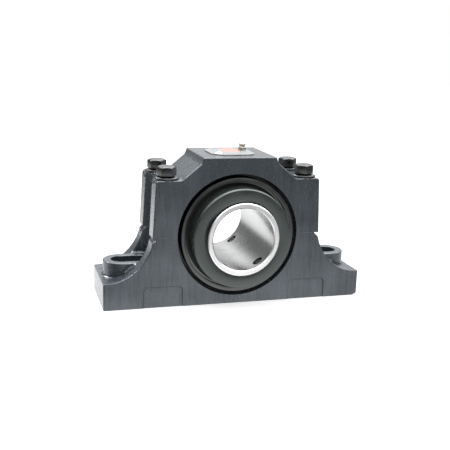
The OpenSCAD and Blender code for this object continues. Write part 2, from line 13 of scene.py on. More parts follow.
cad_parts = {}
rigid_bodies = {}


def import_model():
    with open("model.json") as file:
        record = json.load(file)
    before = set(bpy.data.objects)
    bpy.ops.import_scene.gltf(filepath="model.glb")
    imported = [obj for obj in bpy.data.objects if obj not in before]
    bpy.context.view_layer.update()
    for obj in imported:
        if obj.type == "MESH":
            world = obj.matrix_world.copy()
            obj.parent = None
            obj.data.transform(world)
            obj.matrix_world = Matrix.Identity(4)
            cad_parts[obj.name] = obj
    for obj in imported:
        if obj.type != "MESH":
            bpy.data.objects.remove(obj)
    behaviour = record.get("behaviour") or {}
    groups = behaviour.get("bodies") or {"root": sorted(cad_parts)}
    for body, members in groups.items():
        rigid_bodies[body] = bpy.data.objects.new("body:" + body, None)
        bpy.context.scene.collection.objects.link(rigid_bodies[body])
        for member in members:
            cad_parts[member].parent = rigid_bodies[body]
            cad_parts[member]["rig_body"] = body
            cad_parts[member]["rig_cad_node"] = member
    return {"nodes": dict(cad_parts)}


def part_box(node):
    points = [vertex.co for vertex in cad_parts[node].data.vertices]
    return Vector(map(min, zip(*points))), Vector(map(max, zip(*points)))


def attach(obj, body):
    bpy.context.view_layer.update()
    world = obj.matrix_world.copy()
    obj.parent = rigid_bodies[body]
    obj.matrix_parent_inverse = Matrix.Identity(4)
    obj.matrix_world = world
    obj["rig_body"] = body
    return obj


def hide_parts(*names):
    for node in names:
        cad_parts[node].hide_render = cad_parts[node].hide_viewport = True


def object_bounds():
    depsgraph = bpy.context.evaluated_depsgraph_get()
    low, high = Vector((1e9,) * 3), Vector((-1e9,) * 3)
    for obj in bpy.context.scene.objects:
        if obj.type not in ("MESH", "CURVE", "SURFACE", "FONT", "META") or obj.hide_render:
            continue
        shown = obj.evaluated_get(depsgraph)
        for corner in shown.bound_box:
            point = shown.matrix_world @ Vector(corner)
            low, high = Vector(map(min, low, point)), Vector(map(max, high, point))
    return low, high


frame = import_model()
CAD_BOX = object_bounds()

bl_info = {
    "name": "Pillow Block Looks",
    "version": (1, 0, 0),
    "blender": (4, 5, 0),
    "location": "View3D > Sidebar > Pillow Block",
    "description": "Dresses the packed pillow block with finished pieces, materials and a stage",
    "category": "Object",
}

MM = 0.001

# The shaft axis runs through the middle of the inner ring.
RING_LOW, RING_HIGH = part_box("inner_ring")
SHAFT = (RING_LOW + RING_HIGH) / 2
CAP_LOW, CAP_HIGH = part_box("housing_cap")
SPLIT_Z = CAP_LOW.z
CAP_TOP = CAP_HIGH.z

# Section of the inner ring: bore, land under the collars, races and the rib between them
BORE_R = 30.956 * MM
LAND_R = 36.146 * MM
RACE_END, RACE_END_R = 20.307 * MM, 36.898 * MM
RIB_HALF, RACE_RIB_R, RIB_R = 4.7 * MM, 39.65 * MM, 41.75 * MM
# Set screws: distance from the middle of the shaft and turn from straight down, in degrees
SET_SCREW_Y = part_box("collar_rear")[1].y - 6.8 * MM
SCREW_TURN = 36

# Castings: planed long faces, swept walls above the feet, slotted bosses and their round ends
PLANED_Y = CAP_HIGH.y - MM
FOOT_TOP = 26.1 * MM
SWEEP_R = 48.5 * MM
BOSS_R = 18.5 * MM
BOSS_END_X = 110.35 * MM
BOSS_REACH = 42 * MM
# The foot tops are split at these distances, so that a fillet narrows as it runs out.
FOOT_CUTS = (114 * MM, 119 * MM, 125 * MM)
# Round seat of the cartridge, and spot faces round the bolts
SEAT_R = 64.5 * MM
SEAT_EDGE_R = 65 * MM
SPOT_R = 14.2 * MM
# Shallow panels: top, ends nearest to and farthest from the middle, least distance from it, inner corner
PANEL_TOP, PANEL_NEAR_X, PANEL_FAR_X, PANEL_Y = 22 * MM, 55 * MM, 95 * MM, 35 * MM
PANEL_CORNER = 0.45 * MM
# Material slots of the castings; the last one is painted shade along the panels' edges
ROUGH, PLANED, IRON, PANEL_SHADE = range(4)

# Bolts and washers of the cap
BOLT_LOW, BOLT_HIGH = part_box("cap_bolts")
WASHER_LOW, WASHER_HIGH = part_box("cap_washers")
BOLT_R = 5.55 * MM
WASHER_R = 12.0 * MM
WASHER_RISE = 1.6 * MM
BOLT_X = WASHER_HIGH.x - WASHER_R
BOLT_Y = WASHER_HIGH.y - WASHER_R
BOLT_PLACES = [(-BOLT_X, -BOLT_Y), (BOLT_X, -BOLT_Y), (-BOLT_X, BOLT_Y), (BOLT_X, BOLT_Y)]
BOLT_TURNS = (50, 28, 44, 48)

# Plate: middles of the fitting and the screw, and the left, right, front and back edge of its plain printed field
FITTING = sum(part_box("grease_fitting"), Vector()) / 2
DRIVE_SCREW = sum(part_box("nameplate_drive_screws"), Vector()) / 2
BAND_MM = (-6.0, 10.5, -1.0, 22.0)

# Sockets of the Mix node for colours
MIX_A, MIX_B, MIX_OUT = 6, 7, 2


def linear(code):
    """Linear RGBA of an sRGB hex colour."""
    shares = [int(code[i : i + 2], 16) / 255 for i in (1, 3, 5)]
    return [s / 12.92 if s <= 0.04045 else ((s + 0.055) / 1.055) ** 2.4 for s in shares] + [1.0]


# Settings


def colour(name, description, code):
    return bpy.props.FloatVectorProperty(
        name=name, description=description, default=linear(code), size=4, subtype="COLOR", min=0, max=1
    )


def length(name, description, millimetres):
    return bpy.props.FloatProperty(
        name=name, description=description, default=millimetres * MM, unit="LENGTH", min=0, precision=5
    )


class PillowHousing(bpy.types.PropertyGroup):
    fillet: length("Fillet", "Radius of the cast fillets in inner corners", 2.4)
    cast_edge: length("Cast edge", "Rounding of the cast outer edges", 1.1)
    end_corner: length("End corner", "Rounding of the upright corners at the feet's ends", 1.6)
    machined_edge: length("Machined edge", "Broken edge where a tool has cut", 0.25)
    grain: length("Sand grain", "Size of the sand grain under the paint", 2.6)
    paint: colour("Paint", "Slate enamel of the castings", "#22272b")
    worn_paint: colour("Thin paint", "Enamel where it is thin or dusty", "#32383d")
    sheen: colour("Sheen", "Cool tint of the enamel's reflections", "#f0f7ff")
    # The near-black tone on the panels' rims is painted shade, standing in for the shadow under their top edge.
    painted_panel_shade: colour("Painted panel shade", "Painted shade along the panels' edges", "#0d0e0f")
    bare_iron: colour("Bare iron", "Machined iron of seats and split faces", "#8b8c8a")


class PillowFasteners(bpy.types.PropertyGroup):
    edge: length("Edge", "Rounding of the forged edges", 0.35)
    flats: length("Flats", "Width of a bolt head across its flats", 17.0)
    crown: length("Crown", "Radius of the flat on top of a bolt head", 7.31)
    bolt_steel: colour("Bolt steel", "Dulled steel of bolts and washers", "#585a5a")
    pin_steel: colour("Pin steel", "Ground steel of dowels and pin", "#a2a3a3")


class PillowPlate(bpy.types.PropertyGroup):
    edge: length("Edge", "Rounding of the plate's edges", 0.15)
    corner: length("Corner", "Radius of the plate's corners", 12.0)
    flats: length("Flats", "Width of the grease fitting across its flats", 8.0)
    plate: colour("Plate", "Satin aluminium of the plate", "#9c9fa0")
    band: colour("Band", "Plain printed band on the plate", "#df9b90")
    nickel: colour("Nickel", "Plating of the fitting and the drive screw", "#b7b7af")


class PillowBearing(bpy.types.PropertyGroup):
    edge: length("Edge", "Rounding of turned edges", 0.3)
    ground: colour("Ground steel", "Polished steel of the inner ring", "#adaeae")
    # Far paler than the ground steel of the bore, though both are one steel: partly a faced finish, partly a painted
    # highlight.
    faced_highlit: colour("Faced steel", "Ends of the inner ring", "#f4f4f6")
    bearing: colour("Bearing steel", "Races and rollers", "#b9bbbd")
    oxide: colour("Black oxide", "Blackened steel of the collars", "#555a59")
    shell: colour("Shell iron", "Turned grey iron of the cartridge shell", "#5a5c5b")
    spring: colour("Spring steel", "Blued steel of the snap rings", "#4c5056")
    pressed: colour("Pressed steel", "Sheet of cages and seal cases", "#8f9294")
    rubber: colour("Rubber", "Nitrile rubber of the seal lips", "#17181a")
    screw: colour("Screw steel", "Oiled black steel of the set screws", "#3a3b3c")


class PillowStage(bpy.types.PropertyGroup):
    lens: bpy.props.FloatProperty(
        name="Lens", description="Focal length of the camera", default=61.02, unit="CAMERA", min=10
    )
    yaw: bpy.props.FloatProperty(
        name="Yaw", description="Turn of the camera to the right", default=math.radians(16.97), subtype="ANGLE"
    )
    pitch: bpy.props.FloatProperty(
        name="Pitch", description="Downward tilt of the camera", default=math.radians(13.41), subtype="ANGLE"
    )
    roll: bpy.props.FloatProperty(
        name="Roll", description="Turn of the camera about its view", default=math.radians(1.92), subtype="ANGLE"
    )
    place: bpy.props.FloatVectorProperty(
        name="Place",
        description="Where the camera stands",
        default=(-0.2261, -0.7303, 0.2540),
        subtype="TRANSLATION",
    )
    ambient: bpy.props.FloatProperty(
        name="Ambient", description="Share of the room's light that fills the shadows", default=0.45, min=0
    )
    front: bpy.props.FloatProperty(
        name="Front", description="Brightness of the room behind the camera", default=0.3, min=0
    )
    back: bpy.props.FloatProperty(
        name="Back", description="Brightness of the room behind the block", default=0.95, min=0
    )
    left: bpy.props.FloatProperty(
        name="Left", description="Brightness of the room's left side", default=0.3, min=0
    )
    above: bpy.props.FloatProperty(
        name="Above", description="Brightness of the room overhead", default=4.5, min=0
    )
    floor_lift: bpy.props.FloatProperty(
        name="Floor lift", description="Extra brightness of the floor in the picture", default=0.52, min=0
    )


# Modelling


def alone(obj):
    """Make obj the only selected object and the active one."""
    if bpy.context.mode != "OBJECT":
        bpy.ops.object.mode_set(mode="OBJECT")
    bpy.ops.object.select_all(action="DESELECT")
    obj.select_set(True)
    bpy.context.view_layer.objects.active = obj


def open_mesh(obj):
    """Enter edit mode on obj with all of its mesh selected."""
    alone(obj)
    bpy.ops.object.mode_set(mode="EDIT")
    bpy.ops.mesh.select_all(action="SELECT")


def close_mesh():
    bpy.ops.object.mode_set(mode="OBJECT")


def apply(obj, kind, **settings):
    """Add a modifier to obj and apply it at once."""
    alone(obj)
    modifier = obj.modifiers.new(kind.title(), kind)
    for field, value in settings.items():
        setattr(modifier, field, value)
    bpy.ops.object.modifier_apply(modifier=modifier.name)


def cut(obj, tool, operation="DIFFERENCE"):
    """Boolean obj with a tool, and throw the tool away."""
    apply(obj, "BOOLEAN", object=tool, operation=operation, solver="EXACT")
    bpy.data.objects.remove(tool)


def break_edges(obj, width, segments=2, angle=30.0):
    """Round every edge of obj that is sharper than an angle in degrees."""
    apply(
        obj,
        "BEVEL",
        width=width,
        segments=segments,
        limit_method="ANGLE",
        angle_limit=math.radians(angle),
        use_clamp_overlap=True,
        harden_normals=False,
    )


def smooth(obj, angle=35.0):
    alone(obj)
    bpy.ops.object.shade_smooth_by_angle(angle=math.radians(angle))


def turned(name, section, centre, along="Y", steps=128):
    """A solid turned from a chain of (radius, place along the axis) points, spun about an axis through centre."""
    axis = Vector((0, 1, 0)) if along == "Y" else Vector((0, 0, 1))
    outward = Vector((0, 0, 1)) if along == "Y" else Vector((1, 0, 0))
    points = [Vector(centre) + outward * radius + axis * place for radius, place in section]
    bpy.ops.object.select_all(action="DESELECT")
    bpy.ops.mesh.primitive_plane_add(size=MM, location=points[0])
    obj = bpy.context.object
    obj.name = name
    open_mesh(obj)
    bpy.ops.mesh.merge(type="CENTER")
    for start, end in zip(points, points[1:]):
        bpy.ops.mesh.extrude_vertices_move(TRANSFORM_OT_translate={"value": end - start})
    bpy.ops.mesh.select_all(action="SELECT")
    bpy.ops.mesh.spin(steps=steps, angle=math.tau, center=centre, axis=axis)
    bpy.ops.mesh.select_all(action="SELECT")
    bpy.ops.mesh.remove_doubles(threshold=0.002 * MM)
    bpy.ops.mesh.normals_make_consistent(inside=False)
    close_mesh()
    bpy.ops.object.transform_apply(location=True, rotation=True, scale=True)
    return obj


def hexagon_head(name, flats, crown, bottom, top):
    """An upright hexagon on the Z axis, a corner along X, its upper corners turned off at 30 degrees."""
    corner = flats / math.sqrt(3)
    bpy.ops.object.select_all(action="DESELECT")
    bpy.ops.mesh.primitive_cylinder_add(
        vertices=6, radius=corner, depth=top - bottom, location=(0, 0, (bottom + top) / 2)
    )
    head = bpy.context.object
    head.name = name
    head.rotation_euler = (0, 0, math.radians(30))
    bpy.ops.object.transform_apply(location=True, rotation=True, scale=True)
    reach = corner + MM
    shoulder = top - (reach - crown) * math.tan(math.radians(30))
    profile = ((0, bottom - MM), (reach, bottom - MM), (reach, shoulder), (crown, top), (0, top))
    cut(head, turned("crown", profile, (0, 0, 0), "Z", 96), "INTERSECT")
    return head


def drill(obj, start, direction, radius, depth):
    """Cut a straight hole from a point along a direction."""
    axis = Vector(direction).normalized()
    bpy.ops.object.select_all(action="DESELECT")
    bpy.ops.mesh.primitive_cylinder_add(
        vertices=48,
        radius=radius,
        depth=depth,
        location=Vector(start) + axis * depth / 2,
        rotation=axis.to_track_quat("Z", "Y").to_euler(),
    )
    cut(obj, bpy.context.object)


def copies(pattern, names, places, turns):
    """Copies of a piece that was made on the Z axis, each with its own mesh at its own place and turn."""
    made = []
    for name, (x, y), turn in zip(names, places, turns):
        alone(pattern)
        bpy.ops.object.duplicate()
        copy = bpy.context.object
        copy.name = name
        copy.location = (x, y, 0)
        copy.rotation_euler = (0, 0, math.radians(turn))
        bpy.ops.object.transform_apply(location=True, rotation=True, scale=True)
        made.append(copy)
    bpy.data.objects.remove(pattern)
    return made


def copied(node, name):
    """A copy of a CAD node's mesh as a free object, its triangles merged into whole faces."""
    alone(frame["nodes"][node])
    bpy.ops.object.duplicate()
    obj = bpy.context.object
    obj.name = name
    obj.parent = None
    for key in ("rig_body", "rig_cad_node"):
        del obj[key]
    obj.data.materials.clear()
    open_mesh(obj)
    bpy.ops.mesh.remove_doubles(threshold=0.002 * MM)
    bpy.ops.mesh.dissolve_limited(angle_limit=math.radians(0.6))
    close_mesh()
    return obj


def settle(obj, material, body, slot, *nodes):
    """Give a finished piece its material and body, and let it stand for CAD nodes; its slot is not used."""
    if not obj.data.materials:
        obj.data.materials.append(material)
    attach(obj, body)
    if nodes:
        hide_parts(*nodes)


def finish_node(node, material):
    """Put a material on a CAD node that stays."""
    slots = frame["nodes"][node].data.materials
    slots.clear()
    slots.append(material)


# Materials


def put(tree, kind, sockets=None, **settings):
    """Add a node, set its fields, and fill or link its sockets by name or number."""
    node = tree.nodes.new(kind)
    for field, value in settings.items():
        setattr(node, field, value)
    for key, value in (sockets or {}).items():
        if isinstance(value, bpy.types.NodeSocket):
            tree.links.new(value, node.inputs[key])
        else:
            node.inputs[key].default_value = value
    return node


def start(name, **sockets):
    """A new material; returns it, its node tree and its shader."""
    material = bpy.data.materials.new(name)
    material.use_nodes = True
    tree = material.node_tree
    shader = tree.nodes["Principled BSDF"]
    for key, value in sockets.items():
        shader.inputs[key].default_value = value
    return material, tree, shader


def slate_enamel(name, look, relief, streaks):
    """Slate enamel on iron: glossy, sparkling where the sand's grain stands out, faintly streaked where planed."""
    material, tree, shader = start(name, IOR=1.8, **{"Specular Tint": look.sheen})
    place = put(tree, "ShaderNodeTexCoord").outputs["Object"]
    grain = put(
        tree,
        "ShaderNodeTexNoise",
        {"Vector": place, "Scale": 1 / look.grain, "Detail": 2.0, "Roughness": 0.5},
    )
    lumps = put(tree, "ShaderNodeTexNoise", {"Vector": place, "Scale": 1 / (9 * MM), "Detail": 2.0})
    drift = put(tree, "ShaderNodeTexNoise", {"Vector": place, "Scale": 1 / (34 * MM), "Detail": 2.0})
    # Streaks are drawn out along Z, about 1.3 mm apart.
    hung = put(tree, "ShaderNodeMapping", {"Vector": place, "Scale": (1.0, 1.0, 0.045)})
    runs = put(
        tree,
        "ShaderNodeTexNoise",
        {"Vector": hung.outputs["Vector"], "Scale": 1 / (1.3 * MM), "Detail": 3.0, "Roughness": 0.55},
    )
    mixed = put(
        tree,
        "ShaderNodeMath",
        {0: runs.outputs["Fac"], 1: streaks, 2: drift.outputs["Fac"]},
        operation="MULTIPLY_ADD",
    )
    thin = put(
        tree,
        "ShaderNodeMapRange",
        {"Value": mixed.outputs[0], "From Min": 0.3 + 0.4 * streaks, "From Max": 0.7 + 0.55 * streaks},
    )
    tint = put(
        tree,
        "ShaderNodeMix",
        {"Factor": thin.outputs[0], MIX_A: look.paint, MIX_B: look.worn_paint},
        data_type="RGBA",
    )
    gloss = put(
        tree,
        "ShaderNodeMapRange",
        {
            "Value": grain.outputs["Fac"],
            "From Min": 0.3,
            "From Max": 0.7,
            "To Min": 0.18 + 0.06 * streaks,
            "To Max": 0.32 - 0.04 * streaks,
        },
    )
    height = put(
        tree,
        "ShaderNodeMath",
        {0: lumps.outputs["Fac"], 1: 1.2, 2: grain.outputs["Fac"]},
        operation="MULTIPLY_ADD",
    )
    bump = put(
        tree,
        "ShaderNodeBump",
        {"Strength": relief, "Distance": 1.1 * MM, "Height": height.outputs[0]},
    )
    if streaks:
        shine = put(
            tree,
            "ShaderNodeMapRange",
            {"Value": thin.outputs[0], "To Min": 0.5 - 0.1 * streaks, "To Max": 0.5 + 0.1 * streaks},
        )
        tree.links.new(shine.outputs[0], shader.inputs["Specular IOR Level"])
    tree.links.new(tint.outputs[MIX_OUT], shader.inputs["Base Color"])
    tree.links.new(gloss.outputs[0], shader.inputs["Roughness"])
    tree.links.new(bump.outputs[0], shader.inputs["Normal"])
    return material


def lathe_lines(name, tone, spacing, depth, roughness, metallic=1.0, spread=0.06):
    """Turned or ground metal: fine rings about the shaft, which stretch its highlights across them."""
    material, tree, shader = start(name, Metallic=metallic)
    place = put(tree, "ShaderNodeTexCoord").outputs["Object"]
    centred = put(tree, "ShaderNodeMapping", {"Vector": place, "Location": -SHAFT})
    rings = put(
        tree,
        "ShaderNodeTexWave",
        {"Vector": centred.outputs["Vector"], "Scale": math.pi / (10 * spacing), "Distortion": 0.6, "Detail": 3.0},
        wave_type="RINGS",
        rings_direction="Y",
    )
    cloud = put(tree, "ShaderNodeTexNoise", {"Vector": place, "Scale": 1 / (9 * MM), "Detail": 4.0})
    rubbed = put(
        tree,
        "ShaderNodeMapRange",
        {
            "Value": cloud.outputs["Fac"],
            "From Min": 0.3,
            "From Max": 0.7,
            "To Min": roughness - spread,
            "To Max": roughness + spread,
        },
    )
    dark = [0.82 * channel for channel in tone[:3]] + [1.0]
    tint = put(
        tree,
        "ShaderNodeMix",
        {"Factor": cloud.outputs["Fac"], MIX_A: dark, MIX_B: tone},
        data_type="RGBA",
    )
    bump = put(
        tree, "ShaderNodeBump", {"Strength": depth, "Distance": 0.05 * MM, "Height": rings.outputs["Fac"]}
    )
    tree.links.new(tint.outputs[MIX_OUT], shader.inputs["Base Color"])
    tree.links.new(rubbed.outputs[0], shader.inputs["Roughness"])
    tree.links.new(bump.outputs[0], shader.inputs["Normal"])
    return material


def mottled(name, tone, patch, roughness, metallic, depth):
    """A plain surface with patches a few tenths apart in gloss, as forging, plating, pressing or moulding leave it."""
    material, tree, shader = start(name, Metallic=metallic)
    place = put(tree, "ShaderNodeTexCoord").outputs["Object"]
    patches = put(
        tree,
        "ShaderNodeTexNoise",
        {"Vector": place, "Scale": 1 / patch, "Detail": 5.0, "Roughness": 0.6},
    )
    dark = [0.72 * channel for channel in tone[:3]] + [1.0]
    tint = put(
        tree,
        "ShaderNodeMix",
        {"Factor": patches.outputs["Fac"], MIX_A: dark, MIX_B: tone},
        data_type="RGBA",
    )
    gloss = put(
        tree,
        "ShaderNodeMapRange",
        {
            "Value": patches.outputs["Fac"],
            "From Min": 0.3,
            "From Max": 0.7,
            "To Min": roughness - 0.08,
            "To Max": roughness + 0.08,
        },
    )
    bump = put(
        tree, "ShaderNodeBump", {"Strength": depth, "Distance": 0.1 * MM, "Height": patches.outputs["Fac"]}
    )
    tree.links.new(tint.outputs[MIX_OUT], shader.inputs["Base Color"])
    tree.links.new(gloss.outputs[0], shader.inputs["Roughness"])
    tree.links.new(bump.outputs[0], shader.inputs["Normal"])
    return material


# Places on the castings


def room_at(point):
    """Largest rounding that fits at a point: little where swept walls run out and where bosses touch them."""
    past_boss = abs(point.x) - BOSS_END_X
    if at_run_out(point) and abs(past_boss) < 0.6 * MM and abs(abs(point.y) - BOSS_R) < 0.6 * MM:
        return 0.0
    # The foot of a boss shows as a sliver where the underside's corner is ground off.
    if point.z < 0.5 * MM and abs(past_boss - BOSS_R) < 1.2 * MM and abs(point.y) < 7 * MM:
        return 0.0
    if past_boss < -0.1 * MM or point.z < FOOT_TOP - 0.1 * MM:
        return 1.0
    run = CAD_BOX[1].x - abs(point.x)
    at_wall = abs(point.y) > BOSS_R - 0.1 * MM
    fits = run * run / (2 * SWEEP_R) if at_wall else 1.0
    if point.z < FOOT_TOP + 0.1 * MM and past_boss < BOSS_R:
        fits = min(fits, BOSS_R - math.sqrt(BOSS_R**2 - max(past_boss, 0.0) ** 2))
    return fits / 2.2


def at_run_out(point):
    """Whether a point lies low on a foot's top, where the swept walls run out beside the boss."""
    return FOOT_TOP - 0.1 * MM < point.z < FOOT_TOP + 7 * MM and abs(point.x) > BOSS_END_X - 5 * MM


def on_boss(point):
    """Whether a point lies on a foot's top or on a boss."""
    at_foot = abs(point.x) > 70 * MM and abs(point.y) < BOSS_R + 0.1 * MM
    return at_foot and FOOT_TOP - 0.1 * MM < point.z < BOSS_REACH


def at_end_corner(point):
    """Whether a point lies on an upright corner at the end of a foot."""
    return abs(point.x) > CAD_BOX[1].x - 0.05 * MM and abs(point.y) > CAP_HIGH.y - 0.05 * MM


def in_panel(point):
    """Whether a point lies in one of the shallow panels on the long faces."""
    return point.z < PANEL_TOP and PANEL_NEAR_X < abs(point.x) < PANEL_FAR_X and abs(point.y) > PANEL_Y


def machined(point):
    """Whether a corner of the castings lies where a tool has cut."""
    off_axis = math.hypot(point.x - SHAFT.x, point.z - SHAFT.z)
    by_bolt = min(math.hypot(point.x - x, point.y - y) for x, y in BOLT_PLACES)
    on_top = point.z > CAP_TOP - 0.1 * MM and abs(point.x) < 30 * MM and abs(point.y) < 30 * MM
    return (
        off_axis < SEAT_EDGE_R
        or abs(point.z - SPLIT_Z) < 0.1 * MM
        or by_bolt < SPOT_R
        or in_panel(point)
        or on_top
        or point.z < 2.5 * MM
    )


# Operators


class PILLOW_OT_cast_housing(bpy.types.Operator):
    """Rounds the cast edges of the base and the cap, breaks their machined edges and paints them"""

    bl_idname = "pillow.cast_housing"
    bl_label = "Cast Housing"

    def execute(self, context):
        look = context.scene.pillow_housing
        paints = {
            ROUGH: slate_enamel("slate enamel on sand cast iron", look, 0.3, 0.0),
            PLANED: slate_enamel("slate enamel on planed iron", look, 0.04, 1.0),
            IRON: lathe_lines("machined grey iron", look.bare_iron, 0.4 * MM, 0.2, 0.35),
            # Painted shade for the panels' rims.
            PANEL_SHADE: mottled("slate enamel with painted shade in panel corners", look.painted_panel_shade, 3 * MM, 0.5, 0.0, 0.1),
        }
        for node, name in (("housing_base", "cast_base"), ("housing_cap", "cast_cap")):
            casting = copied(node, name)
            self.weigh_edges(casting, look)
            apply(
                casting,
                "BEVEL",
                width=look.fillet,
                segments=3,
                limit_method="WEIGHT",
                use_clamp_overlap=False,
                miter_outer="MITER_ARC",
            )
            for slot in range(PANEL_SHADE + 1):
                casting.data.materials.append(paints[slot])
            self.sort_faces(casting)
            smooth(casting, 40)
            apply(casting, "WEIGHTED_NORMAL", weight=100, keep_sharp=True)
            settle(casting, None, "housing", "cast_paint", node)
        return {"FINISHED"}

    def weigh_edges(self, casting, look):
        """Sets each sharp edge's share of the bevel: whole in inner corners, less on outer and machined edges."""
        open_mesh(casting)
        mesh = bmesh.from_edit_mesh(casting.data)
        # Bosses are split across their slots, the foot tops also further out.
        cuts = ((on_boss, BOSS_END_X), *((at_run_out, reach) for reach in FOOT_CUTS))
        for within, reach in cuts:
            for side in (-1, 1):
                bpy.ops.mesh.select_all(action="DESELECT")
                split = [face for face in mesh.faces if all(within(vertex.co) for vertex in face.verts)]
                for face in split:
                    face.select_set(True)
                if split:
                    bpy.ops.mesh.bisect(plane_co=(side * reach, 0, 0), plane_no=(1, 0, 0))
                    mesh = bmesh.from_edit_mesh(casting.data)
        weight = mesh.edges.layers.float.new("bevel_weight_edge")
        for edge in mesh.edges:
            if len(edge.link_faces) != 2 or edge.calc_face_angle(0.0) < math.radians(25):
                continue
            if not edge.is_convex and all(in_panel(vertex.co) for vertex in edge.verts):
                share = PANEL_CORNER / look.fillet
            elif all(machined(vertex.co) for vertex in edge.verts):
                share = look.machined_edge / look.fillet
            elif edge.is_convex:
                share = look.cast_edge / look.fillet
            else:
                share = 1.0
            if all(at_end_corner(vertex.co) for vertex in edge.verts):
                edge[weight] = look.end_corner / look.fillet
            else:
                edge[weight] = min(share, *(room_at(vertex.co) / look.fillet for vertex in edge.verts))
        bmesh.update_edit_mesh(casting.data)
        close_mesh()

    def sort_faces(self, casting):
        """Smoother paint on the planed long faces, bare iron where a tool has cut the seats and the split, painted
        shade on the panels' rims.
        """
        vertices = casting.data.vertices
        for face in casting.data.polygons:
            corners = [vertices[i].co for i in face.vertices]
            in_seat = all((corner - SHAFT).length < SEAT_R for corner in corners)
            on_split = all(abs(corner.z - SPLIT_Z) < 0.05 * MM for corner in corners)
            at_washer = all(abs(corner.z - WASHER_LOW.z) < 0.05 * MM for corner in corners)
            underneath = all(corner.z < 0.05 * MM for corner in corners)
            if in_seat or on_split or at_washer or underneath:
                face.material_index = IRON
            # Panel rims and their rounded corners get painted shade.
            elif in_panel(face.center) and abs(face.normal.y) < 0.99:
                face.material_index = PANEL_SHADE
            elif abs(face.normal.y) > 0.99 and abs(face.center.y) > PLANED_Y:
                face.material_index = PLANED


class PILLOW_OT_cap_fasteners(bpy.types.Operator):
    """Forges the four cap bolts and stamps their washers, and finishes the pins in the split"""

    bl_idname = "pillow.cap_fasteners"
    bl_label = "Cap Fasteners"

    def execute(self, context):
        look = context.scene.pillow_fasteners
        steel = mottled("dulled bolt steel", look.bolt_steel, 1.6 * MM, 0.24, 1.0, 0.15)
        bolts = copies(self.bolt(look), [f"cap_bolt_{i}" for i in range(1, 5)], BOLT_PLACES, BOLT_TURNS)
        washers = copies(self.washer(look), [f"cap_washer_{i}" for i in range(1, 5)], BOLT_PLACES, BOLT_TURNS)
        for bolt, washer in zip(bolts, washers):
            settle(bolt, steel, "housing", "bolt_steel", "cap_bolts")
            settle(washer, steel, "housing", "bolt_steel", "cap_washers")
        pins = lathe_lines("ground pin steel", look.pin_steel, 0.3 * MM, 0.1, 0.25)
        finish_node("dowel_pins", pins)
        finish_node("anti_rotation_pin", pins)
        return {"FINISHED"}

    def bolt(self, look):
        """A hexagon head on a plain shank, on the Z axis."""
        head = hexagon_head("bolt_pattern", look.flats, look.crown, WASHER_HIGH.z, BOLT_HIGH.z)
        break_edges(head, look.edge, 2, 15)
        point = 1.2 * MM
        profile = (
            (0, BOLT_LOW.z),
            (BOLT_R - point, BOLT_LOW.z),
            (BOLT_R, BOLT_LOW.z + point),
            (BOLT_R, WASHER_HIGH.z + MM),
            (0, WASHER_HIGH.z + MM),
        )
        cut(head, turned("shank", profile, (0, 0, 0), "Z", 64), "UNION")
        smooth(head, 25)
        return head

    def washer(self, look):
        """A dished spring washer on the Z axis, higher at its hole."""
        low, high = WASHER_LOW.z, WASHER_HIGH.z
        hole = BOLT_R + 0.4 * MM
        profile = (
            (hole, low + WASHER_RISE),
            (WASHER_R, low),
            (WASHER_R, high - WASHER_RISE),
            (hole, high),
            (hole, low + WASHER_RISE),
        )
        washer = turned("washer_pattern", profile, (0, 0, 0), "Z", 96)
        break_edges(washer, look.edge, 3, 40)
        smooth(washer, 40)
        return washer


